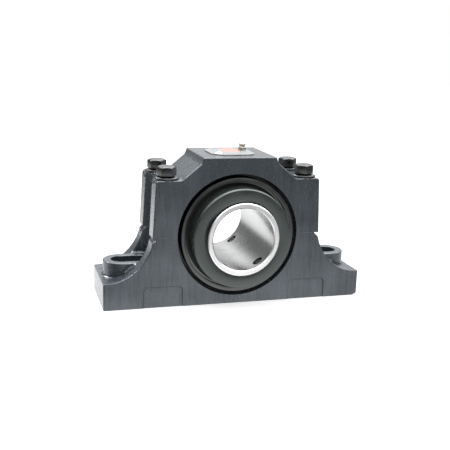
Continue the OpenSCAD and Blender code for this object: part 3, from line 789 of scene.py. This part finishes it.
class PILLOW_OT_nameplate(bpy.types.Operator):
    """Makes the bare plate on the cap and its drive screw"""

    bl_idname = "pillow.nameplate"
    bl_label = "Nameplate"

    def execute(self, context):
        look = context.scene.pillow_plate
        plate = self.plate(look)
        plate.data.materials.append(
            mottled("satin aluminium plate", look.plate, 2 * MM, 0.38, 0.85, 0.1)
        )
        plate.data.materials.append(mottled("red printed field", look.band, 2 * MM, 0.4, 0.0, 0.05))
        self.print_band(plate)
        settle(plate, None, "housing", "plate_metal", "nameplate")
        nickel = mottled("nickel plate on steel", look.nickel, 1.5 * MM, 0.4, 1.0, 0.1)
        settle(self.drive_screw(), nickel, "housing", "screw_steel", "nameplate_drive_screws")
        return {"FINISHED"}

    def plate(self, look):
        """A thin plate with round corners, and holes for its screw and the fitting."""
        low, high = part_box("nameplate")
        size = high - low
        bpy.ops.object.select_all(action="DESELECT")
        bpy.ops.mesh.primitive_plane_add(size=1, location=((low.x + high.x) / 2, (low.y + high.y) / 2, low.z))
        plate = bpy.context.object
        plate.name = "plate"
        plate.scale = (size.x, size.y, 1)
        bpy.ops.object.transform_apply(location=True, rotation=True, scale=True)
        open_mesh(plate)
        bpy.ops.mesh.bevel(offset=look.corner, segments=10, affect="VERTICES")
        bpy.ops.mesh.select_all(action="SELECT")
        bpy.ops.mesh.extrude_region_move(TRANSFORM_OT_translate={"value": (0, 0, size.z)})
        bpy.ops.mesh.select_all(action="SELECT")
        bpy.ops.mesh.normals_make_consistent(inside=False)
        close_mesh()
        for place, radius in ((DRIVE_SCREW, 1.54 * MM), (FITTING, 3.2 * MM)):
            drill(plate, (place.x, place.y, low.z - MM), (0, 0, 1), radius, 3 * MM)
        break_edges(plate, look.edge, 2, 40)
        return plate

    def print_band(self, plate):
        """Cuts a plain rectangle into the plate's top and gives it the print."""
        left, right, front, back = (edge * MM for edge in BAND_MM)
        open_mesh(plate)
        for place, normal in (
            ((left, 0, 0), (1, 0, 0)),
            ((right, 0, 0), (1, 0, 0)),
            ((0, front, 0), (0, 1, 0)),
            ((0, back, 0), (0, 1, 0)),
        ):
            bpy.ops.mesh.select_all(action="SELECT")
            bpy.ops.mesh.bisect(plane_co=place, plane_no=normal)
        close_mesh()
        for face in plate.data.polygons:
            inside = left < face.center.x < right and front < face.center.y < back
            if inside and face.normal.z > 0.99:
                face.material_index = 1
        smooth(plate, 30)
        apply(plate, "WEIGHTED_NORMAL", weight=100, keep_sharp=True)

    def drive_screw(self):
        """A low domed head on a plain shank."""
        low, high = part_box("nameplate_drive_screws")
        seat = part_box("nameplate")[1].z
        rise = high.z - seat
        head = (high.x - low.x) / 2
        dome = (head**2 + rise**2) / (2 * rise)
        arc = [math.asin(head / dome) * step / 8 for step in range(8, -1, -1)]
        profile = [(0, low.z), (1.5 * MM, low.z), (1.5 * MM, seat), (head - 0.2 * MM, seat), (head, seat + 0.2 * MM)]
        profile += [(dome * math.sin(turn), high.z - dome * (1 - math.cos(turn))) for turn in arc[1:]]
        screw = turned("drive_screw", profile, (DRIVE_SCREW.x, DRIVE_SCREW.y, 0), "Z", 48)
        smooth(screw, 35)
        return screw


class PILLOW_OT_grease_fitting(bpy.types.Operator):
    """Turns the grease fitting: hexagon, neck and button"""

    bl_idname = "pillow.grease_fitting"
    bl_label = "Grease Fitting"

    def execute(self, context):
        look = context.scene.pillow_plate
        low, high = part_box("grease_fitting")
        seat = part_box("nameplate")[1].z
        tall = high.z - seat
        hexagon_top = seat + 0.5 * tall
        body = hexagon_head("fitting_pattern", look.flats, 0.43 * look.flats, seat, hexagon_top)
        break_edges(body, 0.2 * MM, 2, 15)
        neck, button = 0.33 * look.flats, 0.43 * look.flats
        button_low = seat + 0.62 * tall
        thread, passage = 3.175 * MM, 0.9 * MM
        profile = (
            (0, seat + 0.8 * MM),
            (passage, seat + 0.8 * MM),
            (passage, low.z),
            (thread - 0.5 * MM, low.z),
            (thread, low.z + 0.5 * MM),
            (thread, hexagon_top - 0.3 * MM),
            (neck + 0.3 * MM, hexagon_top - 0.1 * MM),
            (neck, hexagon_top + 0.2 * MM),
            (neck, button_low),
            (button - 0.2 * MM, button_low),
            (button, button_low + 0.2 * MM),
            (button, high.z - 0.8 * MM),
            (button - 0.25 * MM, high.z - 0.3 * MM),
            (button - 0.8 * MM, high.z),
            (1.2 * MM, high.z),
            (0.9 * MM, high.z - 0.3 * MM),
            (0, high.z - 0.3 * MM),
        )
        stem = turned("stem", profile, (0, 0, 0), "Z", 64)
        cut(body, stem, "UNION")
        smooth(body, 30)
        (fitting,) = copies(body, ["grease_nipple"], [(FITTING.x, FITTING.y)], [12])
        nickel = bpy.data.materials["nickel plate on steel"]
        settle(fitting, nickel, "housing", "fitting_nickel", "grease_fitting")
        return {"FINISHED"}


class PILLOW_OT_bearing(bpy.types.Operator):
    """Finishes the cartridge and everything in it"""

    bl_idname = "pillow.bearing"
    bl_label = "Bearing"

    def execute(self, context):
        look = context.scene.pillow_bearing
        shell = copied("cartridge_shell", "shell")
        break_edges(shell, 2 * look.edge, 2, 40)
        smooth(shell, 35)
        iron = lathe_lines("turned grey iron", look.shell, 0.5 * MM, 0.25, 0.33)
        settle(shell, iron, "cartridge", "shell_iron", "cartridge_shell")
        races = lathe_lines("honed bearing steel", look.bearing, 0.35 * MM, 0.1, 0.22)
        for node in ("cup_front", "cup_rear", "cup_spacer", "rollers_front", "rollers_rear"):
            finish_node(node, races)
        spring = mottled("blued spring steel", look.spring, 2 * MM, 0.3, 1.0, 0.1)
        pressed = mottled("pressed sheet steel", look.pressed, 2 * MM, 0.35, 1.0, 0.1)
        rubber = mottled("nitrile rubber", look.rubber, 1 * MM, 0.55, 0.0, 0.3)
        for end in ("front", "rear"):
            finish_node("snap_ring_" + end, spring)
            finish_node("seal_case_" + end, pressed)
            finish_node("cage_" + end, pressed)
            finish_node("seal_lip_" + end, rubber)
        return {"FINISHED"}


class PILLOW_OT_shaft_ring(bpy.types.Operator):
    """Turns the inner ring and both collars and drills them for the set screws"""

    bl_idname = "pillow.shaft_ring"
    bl_label = "Shaft Ring"

    def execute(self, context):
        look = context.scene.pillow_bearing
        ground = lathe_lines("ground bearing steel", look.ground, 0.35 * MM, 0.12, 0.26, spread=0.03)
        # The ring's ends get the paler tone: a painted highlight on the same steel as the bore, with a rougher faced
        # finish.
        faced_highlit = lathe_lines("faced bearing steel", look.faced_highlit, 0.35 * MM, 0.1, 0.34, spread=0.03)
        ring = self.ring()
        for material in (ground, faced_highlit):
            ring.data.materials.append(material)
        for face in ring.data.polygons:
            face.material_index = int(abs(face.normal.y) > 0.6 and abs(face.center.y) > RING_HIGH.y - 1.1 * MM)
        settle(ring, None, "shaft_group", "ring_steel", "inner_ring")
        oxide = lathe_lines("black oxide on turned steel", look.oxide, 0.5 * MM, 0.12, 0.24, metallic=0.85)
        for end, side in (("front", -1), ("rear", 1)):
            collar = self.collar(look, "lock_collar_" + end, "collar_" + end, side)
            settle(collar, oxide, "shaft_group", "collar_steel", "collar_" + end)
        screws = mottled("oiled black screw steel", look.screw, 1 * MM, 0.4, 0.8, 0.2)
        for end in ("front", "rear"):
            finish_node("set_screws_" + end, screws)
        return {"FINISHED"}

    def ring(self):
        """The inner ring with both races, the rib between them and its chamfered ends."""
        end = RING_HIGH.y
        half = [
            (BORE_R, SET_SCREW_Y - 9 * MM),
            (BORE_R, end - 1.0 * MM),
            (BORE_R + 1.0 * MM, end),
            (LAND_R - 0.8 * MM, end),
            (LAND_R, end - 0.8 * MM),
            (LAND_R, RACE_END),
            (RACE_END_R, RACE_END),
            (RACE_RIB_R, RIB_HALF),
            (RIB_R, RIB_HALF),
        ]
        mirrored = [(radius, -place) for radius, place in reversed(half)]
        ring = turned("bearing_ring", half + mirrored + half[:1], SHAFT, "Y", 160)
        for side in (-1, 1):
            self.drill_screws(ring, side, 5.3 * MM)
        break_edges(ring, 0.2 * MM, 2, 40)
        smooth(ring, 30)
        apply(ring, "WEIGHTED_NORMAL", weight=100, keep_sharp=True)
        return ring

    def collar(self, look, name, node, side):
        """A collar with a round outer rim and a relief beside the ring."""
        low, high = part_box(node)
        outer = high.x
        inside, face = (low.y, high.y) if side > 0 else (high.y, low.y)
        rim = 2.2 * MM
        relief = 1.3 * MM
        bore = LAND_R + 0.04 * MM
        bend = [math.radians(15 * step) for step in range(7)]
        profile = [
            (bore, inside),
            (outer - 0.8 * MM, inside),
            (outer, inside + side * 0.8 * MM),
            *((outer - rim * (1 - math.cos(t)), face - side * rim * (1 - math.sin(t))) for t in bend),
            (LAND_R + relief, face),
            (LAND_R + relief, face - side * relief),
            (bore, face - side * relief),
            (bore, inside),
        ]
        collar = turned(name, profile, (SHAFT.x, 0, SHAFT.z), "Y", 160)
        self.drill_screws(collar, side, 4.8 * MM)
        break_edges(collar, look.edge, 2, 40)
        smooth(collar, 30)
        return collar

    def drill_screws(self, obj, side, radius):
        """Drills the two set screw holes of one end."""
        for turn in (-90 - SCREW_TURN, -90 + SCREW_TURN):
            away = Vector((math.cos(math.radians(turn)), 0, math.sin(math.radians(turn))))
            drill(obj, Vector((SHAFT.x, side * SET_SCREW_Y, SHAFT.z)) + away * 20 * MM, away, radius, 40 * MM)


class PILLOW_OT_stage(bpy.types.Operator):
    """Sets the white floor, the room, the lamps and the camera"""

    bl_idname = "pillow.stage"
    bl_label = "Stage"

    def execute(self, context):
        look = context.scene.pillow_stage
        self.floor(look)
        self.white_room(context, look)
        middle = (CAD_BOX[0] + CAD_BOX[1]) / 2
        # name, place, size, power in watts
        lamps = (
            ("overhead_lamp", (-0.30, 0.10, 1.30), 0.9, 9.0),
            ("key_lamp", (-0.90, -1.70, 1.60), 1.4, 12.0),
            ("rim_lamp", (-0.70, 0.60, 0.80), 0.35, 9.0),
        )
        for name, place, size, power in lamps:
            bpy.ops.object.light_add(type="AREA", location=place)
            lamp = context.object
            lamp.name = name
            lamp.data.size = size
            lamp.data.energy = power
            lamp.rotation_euler = (middle - Vector(place)).to_track_quat("-Z", "Y").to_euler()
            lamp.visible_camera = False
        bpy.ops.object.camera_add()
        camera = context.object
        camera.name = "photo_camera"
        camera.data.lens = look.lens
        camera.data.sensor_width = 36
        camera.matrix_world = (
            Matrix.Translation(look.place)
            @ Matrix.Rotation(-look.yaw, 4, "Z")
            @ Matrix.Rotation(math.pi / 2 - look.pitch, 4, "X")
            @ Matrix.Rotation(look.roll, 4, "Z")
        )
        context.scene.camera = camera
        context.scene.view_settings.view_transform = "Standard"
        return {"FINISHED"}

    def floor(self, look):
        """A white sweep: plain white to the camera; in reflections it glows with a painted pool of light behind the
        block.
        """
        bpy.ops.object.select_all(action="DESELECT")
        bpy.ops.mesh.primitive_plane_add(size=8)
        floor = bpy.context.object
        floor.name = "floor"
        material, tree, shader = start("white paper sweep", Roughness=0.9)
        shader.inputs["Base Color"].default_value = linear("#f2f2f2")
        rays = put(tree, "ShaderNodeLightPath")
        place = put(tree, "ShaderNodeTexCoord").outputs["Object"]
        pool = put(tree, "ShaderNodeVectorMath", {0: place, 1: (-0.12, 0.16, 0.0)}, operation="DISTANCE")
        # Strength of the glow in reflections: a painted pool of light, brightest behind the block.
        mirrored = put(
            tree,
            "ShaderNodeMapRange",
            {"Value": pool.outputs["Value"], "From Min": 0.1, "From Max": 0.8, "To Min": 1.85, "To Max": 0.3},
        )
        # In reflections the floor's glow is painted darker to the left of the block and under the block: painted
        # shade.
        left_shade = put(
            tree,
            "ShaderNodeVectorMath",
            {0: place, 1: (0.45, 1.0, 0.0), 2: (0.19, 0.13, 0.0)},
            operation="MULTIPLY_ADD",
        )
        left_shade = put(tree, "ShaderNodeVectorMath", {0: left_shade.outputs["Vector"]}, operation="LENGTH")
        left_shade = put(
            tree,
            "ShaderNodeMapRange",
            {"Value": left_shade.outputs["Value"], "From Min": 0.11, "From Max": 0.17, "To Min": 0.15, "To Max": 1.0},
            interpolation_type="SMOOTHSTEP",
        )
        off = put(tree, "ShaderNodeVectorMath", {0: place}, operation="ABSOLUTE")
        off = put(tree, "ShaderNodeSeparateXYZ", {0: off.outputs["Vector"]})
        past_end = put(
            tree, "ShaderNodeMath", {0: off.outputs["X"], 1: CAD_BOX[1].x}, operation="GREATER_THAN"
        )
        past_side = put(
            tree, "ShaderNodeMath", {0: off.outputs["Y"], 1: CAP_HIGH.y}, operation="GREATER_THAN"
        )
        clear = put(
            tree, "ShaderNodeMath", {0: past_end.outputs[0], 1: past_side.outputs[0]}, operation="MAXIMUM"
        )
        shade = put(
            tree, "ShaderNodeMath", {0: left_shade.outputs[0], 1: clear.outputs[0]}, operation="MULTIPLY"
        )
        mirrored = put(
            tree, "ShaderNodeMath", {0: mirrored.outputs[0], 1: shade.outputs[0]}, operation="MULTIPLY"
        )
        lift = put(
            tree,
            "ShaderNodeMath",
            {0: rays.outputs["Is Camera Ray"], 1: look.floor_lift},
            operation="MULTIPLY",
        )
        glow = put(tree, "ShaderNodeEmission", {"Strength": lift.outputs[0]})
        paper = put(tree, "ShaderNodeAddShader", {0: shader.outputs[0], 1: glow.outputs[0]})
        # The floor glows in reflections only: painted light.
        mirror = put(tree, "ShaderNodeEmission", {"Strength": mirrored.outputs[0]})
        both = put(
            tree,
            "ShaderNodeMixShader",
            {0: rays.outputs["Is Glossy Ray"], 1: paper.outputs[0], 2: mirror.outputs[0]},
        )
        tree.links.new(both.outputs[0], tree.nodes["Material Output"].inputs["Surface"])
        floor.data.materials.append(material)

    def white_room(self, context, look):
        """A room that is white to the camera, bright above and behind in reflections, dimmer in front and left."""
        world = bpy.data.worlds.new("white room")
        world.use_nodes = True
        tree = world.node_tree
        rays = put(tree, "ShaderNodeLightPath")
        toward = put(tree, "ShaderNodeSeparateXYZ", {0: put(tree, "ShaderNodeTexCoord").outputs["Generated"]})
        behind = put(
            tree,
            "ShaderNodeMapRange",
            {
                "Value": toward.outputs["Y"],
                "From Min": -0.4,
                "From Max": 0.3,
                "To Min": look.front,
                "To Max": look.back,
            },
            interpolation_type="SMOOTHSTEP",
        )
        beside = put(
            tree,
            "ShaderNodeMapRange",
            {"Value": toward.outputs["X"], "From Min": -0.35, "From Max": 0.15, "To Min": look.left, "To Max": 1.0},
            interpolation_type="SMOOTHSTEP",
        )
        overhead = put(
            tree,
            "ShaderNodeMapRange",
            {"Value": rays.outputs["Is Diffuse Ray"], "To Min": look.above, "To Max": 1.0},
        )
        above = put(
            tree,
            "ShaderNodeMapRange",
            {
                "Value": toward.outputs["Z"],
                "From Min": 0.26,
                "From Max": 0.65,
                "To Max": overhead.outputs[0],
            },
            interpolation_type="SMOOTHSTEP",
        )
        whole = put(tree, "ShaderNodeMath", {0: behind.outputs[0], 1: above.outputs[0]}, operation="MAXIMUM")
        whole = put(tree, "ShaderNodeMath", {0: whole.outputs[0], 1: beside.outputs[0]}, operation="MULTIPLY")
        dim = put(
            tree,
            "ShaderNodeMapRange",
            {"Value": rays.outputs["Is Diffuse Ray"], "To Min": 1.0, "To Max": look.ambient},
        )
        level = put(tree, "ShaderNodeMath", {0: whole.outputs[0], 1: dim.outputs[0]}, operation="MULTIPLY")
        seen = put(
            tree,
            "ShaderNodeMath",
            {0: level.outputs[0], 1: rays.outputs["Is Camera Ray"]},
            operation="MAXIMUM",
        )
        sky = tree.nodes["Background"]
        sky.inputs["Color"].default_value = (1, 1, 1, 1)
        tree.links.new(seen.outputs[0], sky.inputs["Strength"])
        context.scene.world = world


class PILLOW_PT_panel(bpy.types.Panel):
    """Lists the steps that dress the pillow block"""

    bl_label = "Pillow Block"
    bl_idname = "PILLOW_PT_panel"
    bl_space_type = "VIEW_3D"
    bl_region_type = "UI"
    bl_category = "Pillow Block"

    def draw(self, context):
        for group, operators in STEPS:
            box = self.layout.box()
            settings = getattr(context.scene, group)
            for name in settings.bl_rna.properties.keys():
                if name not in ("rna_type", "name"):
                    box.prop(settings, name)
            for operator in operators:
                box.operator(operator.bl_idname)


STEPS = (
    ("pillow_housing", (PILLOW_OT_cast_housing,)),
    ("pillow_fasteners", (PILLOW_OT_cap_fasteners,)),
    ("pillow_plate", (PILLOW_OT_nameplate, PILLOW_OT_grease_fitting)),
    ("pillow_bearing", (PILLOW_OT_bearing, PILLOW_OT_shaft_ring)),
    ("pillow_stage", (PILLOW_OT_stage,)),
)
GROUPS = {
    "pillow_housing": PillowHousing,
    "pillow_fasteners": PillowFasteners,
    "pillow_plate": PillowPlate,
    "pillow_bearing": PillowBearing,
    "pillow_stage": PillowStage,
}
CLASSES = (*GROUPS.values(), *(step for _, steps in STEPS for step in steps), PILLOW_PT_panel)


def register():
    for cls in CLASSES:
        bpy.utils.register_class(cls)
    for name, group in GROUPS.items():
        setattr(bpy.types.Scene, name, bpy.props.PointerProperty(type=group))


def unregister():
    for name in GROUPS:
        delattr(bpy.types.Scene, name)
    for cls in reversed(CLASSES):
        bpy.utils.unregister_class(cls)


def main():
    register()
    bpy.ops.pillow.cast_housing()
    bpy.ops.pillow.cap_fasteners()
    bpy.ops.pillow.nameplate()
    bpy.ops.pillow.grease_fitting()
    bpy.ops.pillow.bearing()
    bpy.ops.pillow.shaft_ring()
    bpy.ops.pillow.stage()


if __name__ == "__main__":
    main()
